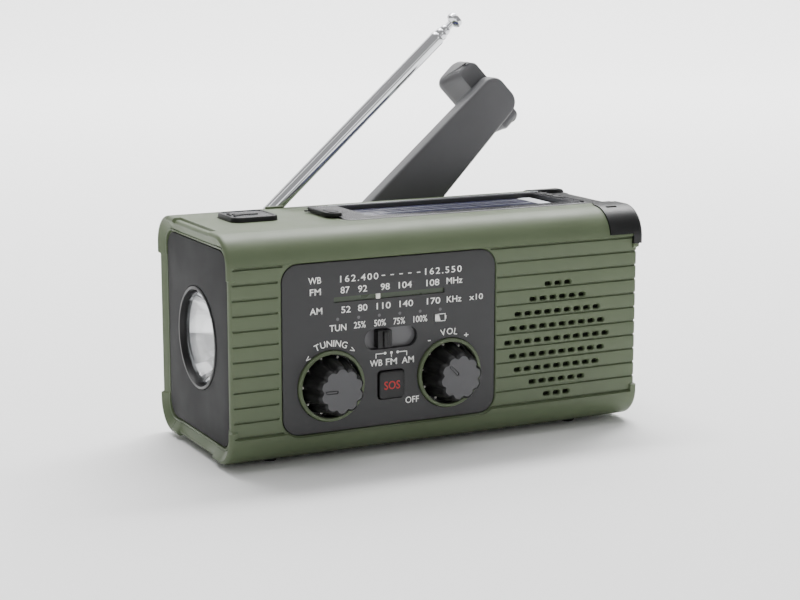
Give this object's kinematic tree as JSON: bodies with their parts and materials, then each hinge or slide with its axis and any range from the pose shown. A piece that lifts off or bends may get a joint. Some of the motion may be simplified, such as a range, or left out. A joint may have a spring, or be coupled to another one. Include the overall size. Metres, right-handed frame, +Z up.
{
  "type": "emergency radio",
  "caption": "Portable emergency radio: ribbed rounded case with dial panel and knobs, end torch, hinged solar lid, telescopic antenna and rear hand crank.",
  "frame": {"origin": "on the surface it stands on, under the middle of the whole object's bounding box", "axes": "+X along the case, from the torch end to the lid hinge end; +Y from the dial and knobs at the front to the crank at the back; +Z up"},
  "size_m": [0.16, 0.099, 0.1476],
  "materials": {
    "green_abs": "moulded olive-green ABS with a fine satin texture",
    "grey_abs": "moulded dark grey ABS, satin",
    "black_abs": "moulded near-black ABS, satin",
    "knob_plastic": "moulded charcoal ABS, low sheen",
    "chrome_plate": "bright nickel-chrome plating",
    "bright_steel": "zinc-plated steel",
    "brass": "turned brass",
    "white_plastic": "white moulded plastic",
    "cream_plastic": "natural acetal and ABS, unpainted",
    "circuit_board": "green solder mask over glass-fibre laminate",
    "solar_cell": "dark blue silicon cells under clear resin",
    "clear_lens": "clear polycarbonate",
    "rubber": "matt black rubber",
    "cell_wrap": "blue film wrap",
    "copper_wire": "enamelled copper wire",
    "speaker_paper": "pressed black paper",
    "ferrite": "grey-black sintered ferrite"
  },
  "bodies": {
    "case": {"main_shell": "green_abs", "rear_cover": "green_abs", "front_panel": "grey_abs", "left_end_panel": "grey_abs", "right_end_panel": "grey_abs", "port_block": "bright_steel", "foot_front_left": "rubber", "foot_rear_left": "rubber", "foot_front_right": "rubber", "foot_rear_right": "rubber", "rear_screw_left": "bright_steel", "rear_screw_right": "bright_steel", "torch_bezel": "black_abs", "torch_lens": "clear_lens", "torch_reflector": "chrome_plate", "torch_led": "cream_plastic", "tuning_ring": "green_abs", "volume_ring": "green_abs", "tuning_capacitor": "cream_plastic", "volume_control": "bright_steel", "band_switch": "bright_steel", "main_board": "circuit_board", "speaker_frame": "bright_steel", "speaker_cone": "speaker_paper", "speaker_magnet": "ferrite", "battery_cell": "cell_wrap", "battery_cradle": "black_abs", "ferrite_rod": "ferrite", "ferrite_coil": "copper_wire", "hinge_saddle": "black_abs", "lid_hinge_pin": "bright_steel", "antenna_pivot": "bright_steel", "crank_bush": "brass", "reduction_axle": "bright_steel", "generator_body": "bright_steel", "gear_plate": "bright_steel"},
    "tuning_dial": {"tuning_knob": "knob_plastic"},
    "pointer": {"dial_pointer": "white_plastic"},
    "volume_dial": {"volume_knob": "knob_plastic"},
    "band_key": {"band_slider": "black_abs"},
    "sos_key": {"sos_button": "black_abs"},
    "light_key": {"light_button": "black_abs"},
    "lid": {"solar_lid": "grey_abs", "solar_cell": "solar_cell", "lid_tab": "black_abs", "lamp_diffuser": "white_plastic"},
    "socket_flap": {"port_cover": "rubber"},
    "antenna_base": {"antenna_knuckle": "chrome_plate", "antenna_section_1": "chrome_plate"},
    "antenna_second": {"antenna_section_2": "chrome_plate"},
    "antenna_third": {"antenna_section_3": "chrome_plate"},
    "antenna_last": {"antenna_section_4": "chrome_plate"},
    "crank": {"crank_arm": "grey_abs", "crank_shaft": "bright_steel", "crank_screw": "bright_steel", "drive_gear": "cream_plastic", "grip_pin": "bright_steel"},
    "crank_handle": {"crank_grip": "grey_abs"},
    "reduction": {"reduction_gear": "cream_plastic"},
    "rotor": {"generator_rotor": "bright_steel"}
  },
  "joints": [
    {"name": "tuning_turn", "type": "hinge", "parent": "case", "child": "tuning_dial", "pos_m": [-0.04287, -0.0435, 0.02664], "axis": [0, 1, 0], "range_deg": [-70, 110]},
    {"name": "dial_slide", "type": "slide", "parent": "case", "child": "pointer", "axis": [1, 0, 0], "range_m": [-0.0156, 0.0243]},
    {"name": "volume_turn", "type": "hinge", "parent": "case", "child": "volume_dial", "pos_m": [0.00209, -0.0435, 0.02664], "axis": [0, 1, 0], "range_deg": [-74, 226]},
    {"name": "band_slide", "type": "slide", "parent": "case", "child": "band_key", "axis": [1, 0, 0], "range_m": [0, 0.006]},
    {"name": "sos_push", "type": "slide", "parent": "case", "child": "sos_key", "axis": [0, 1, 0], "range_m": [0, 0.0008], "stiffness_N_per_m": 300, "springref_m": -0.0008},
    {"name": "light_push", "type": "slide", "parent": "case", "child": "light_key", "axis": [0, 0, -1], "range_m": [0, 0.001], "stiffness_N_per_m": 300, "springref_m": -0.001},
    {"name": "lid_open", "type": "hinge", "parent": "case", "child": "lid", "pos_m": [0.0702, -0.00525, 0.0774], "axis": [0, 1, 0], "range_deg": [0, 105]},
    {"name": "flap_open", "type": "hinge", "parent": "case", "child": "socket_flap", "pos_m": [0.0791, -0.00525, 0.0312], "axis": [0, 1, 0], "range_deg": [0, 110]},
    {"name": "antenna_swing", "type": "hinge", "parent": "case", "child": "antenna_base", "pos_m": [-0.0422, 0.0205, 0.0748], "axis": [0, -1, 0], "range_deg": [-41.68, 78.3]},
    {"name": "antenna_slide_1", "type": "slide", "parent": "antenna_base", "child": "antenna_second", "axis": [0.7469, 0, 0.665], "range_m": [0, 0.07]},
    {"name": "antenna_slide_2", "type": "slide", "parent": "antenna_second", "child": "antenna_third", "axis": [0.7469, 0, 0.665], "range_m": [0, 0.07]},
    {"name": "antenna_slide_3", "type": "slide", "parent": "antenna_third", "child": "antenna_last", "axis": [0.7469, 0, 0.665], "range_m": [0, 0.07]},
    {"name": "crank_spin", "type": "hinge", "parent": "case", "child": "crank", "pos_m": [0.0049, 0.0275, 0.0615], "axis": [0, 1, 0], "continuous": true},
    {"name": "handle_spin", "type": "hinge", "parent": "crank", "child": "crank_handle", "pos_m": [0.05844, 0.0425, 0.11302], "axis": [0, 1, 0], "continuous": true},
    {"name": "reduction_spin", "type": "hinge", "parent": "case", "child": "reduction", "pos_m": [0.01477, 0.0105, 0.04974], "axis": [0, 1, 0], "continuous": true},
    {"name": "rotor_spin", "type": "hinge", "parent": "case", "child": "rotor", "pos_m": [0.01196, 0.0065, 0.03384], "axis": [0, 1, 0], "continuous": true}
  ],
  "couplings": [
    {"joint": "dial_slide", "follows": "tuning_turn", "m_per_rad": 0.012573},
    {"joint": "reduction_spin", "follows": "crank_spin", "ratio": -2.1667},
    {"joint": "rotor_spin", "follows": "crank_spin", "ratio": 6.5}
  ]
}
